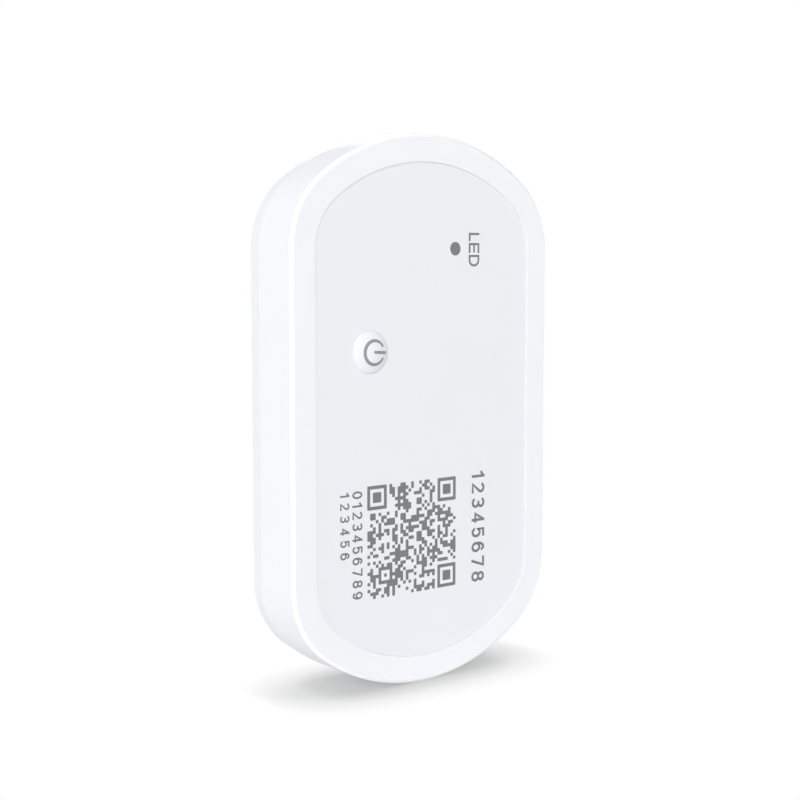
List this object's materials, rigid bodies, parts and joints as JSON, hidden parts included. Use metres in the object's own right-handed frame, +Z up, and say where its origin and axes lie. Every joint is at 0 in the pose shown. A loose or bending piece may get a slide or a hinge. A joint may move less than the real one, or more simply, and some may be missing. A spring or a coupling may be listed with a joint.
{
  "type": "temperature data logger",
  "caption": "Flat wireless temperature data logger: white two-part moulded case with round ends, a sunken label, a domed push key and a lamp window.",
  "frame": {"origin": "centre of the flat rear face", "axes": "+Z up the length of the case, +X to the right seen from the front, -Y out of the front face; the rear face looks along +Y"},
  "size_m": [0.0384, 0.0094, 0.065],
  "materials": {
    "case_white": "fine satin moulded texture",
    "label_film": "satin printed film",
    "print_ink": "printed ink",
    "key_white": "smooth satin moulded",
    "smoked_lens": "smoked clear resin",
    "seal_rubber": "matt silicone",
    "board_green": "satin solder mask",
    "screw_steel": "zinc plated",
    "spring_steel": "rolled sheet",
    "switch_plastic": "moulded nylon",
    "cell_steel": "nickel plated",
    "cell_core": "pressed powder and foil",
    "cell_nylon": "moulded nylon",
    "gold_plate": "gold plated",
    "chip_black": "moulded epoxy",
    "crystal_metal": "welded lid",
    "lamp_resin": "clear resin over white",
    "antenna_ceramic": "fired ceramic",
    "capacitor_resin": "moulded epoxy",
    "capacitor_ceramic": "fired ceramic",
    "resistor_black": "glazed",
    "tinned_metal": "bright tin"
  },
  "bodies": {
    "case": {"front_cover": "case_white", "rear_cover": "case_white", "case_gasket": "seal_rubber", "front_label": "label_film", "light_guide": "smoked_lens", "main_board": "board_green", "board_screws": "screw_steel", "switch_base": "switch_plastic", "switch_terminals": "tinned_metal", "switch_dome": "spring_steel", "switch_frame": "spring_steel", "cell_can": "cell_steel", "cell_core": "cell_core", "cell_seal": "cell_nylon", "cell_cap": "cell_steel", "cell_clip": "spring_steel", "cell_contact": "gold_plate", "radio_chip": "chip_black", "radio_crystal": "crystal_metal", "clock_crystal": "crystal_metal", "memory_chip": "chip_black", "temperature_sensor": "chip_black", "indicator_led": "lamp_resin", "chip_antenna": "antenna_ceramic", "reservoir_capacitor": "capacitor_resin", "chip_capacitors": "capacitor_ceramic", "chip_resistors": "resistor_black", "chip_terminals": "tinned_metal"},
    "key": {"power_key": "key_white"},
    "plunger": {"switch_plunger": "switch_plastic"}
  },
  "joints": [
    {"name": "key_press", "type": "slide", "parent": "case", "child": "key", "axis": [0, 1, 0], "range_m": [0, 0.0002], "stiffness_N_per_m": 4000, "deforming": ["switch_dome"]},
    {"name": "plunger_press", "type": "slide", "parent": "case", "child": "plunger", "axis": [0, 1, 0], "range_m": [0, 0.0002]}
  ],
  "couplings": [
    {"joint": "plunger_press", "follows": "key_press", "ratio": 1}
  ]
}
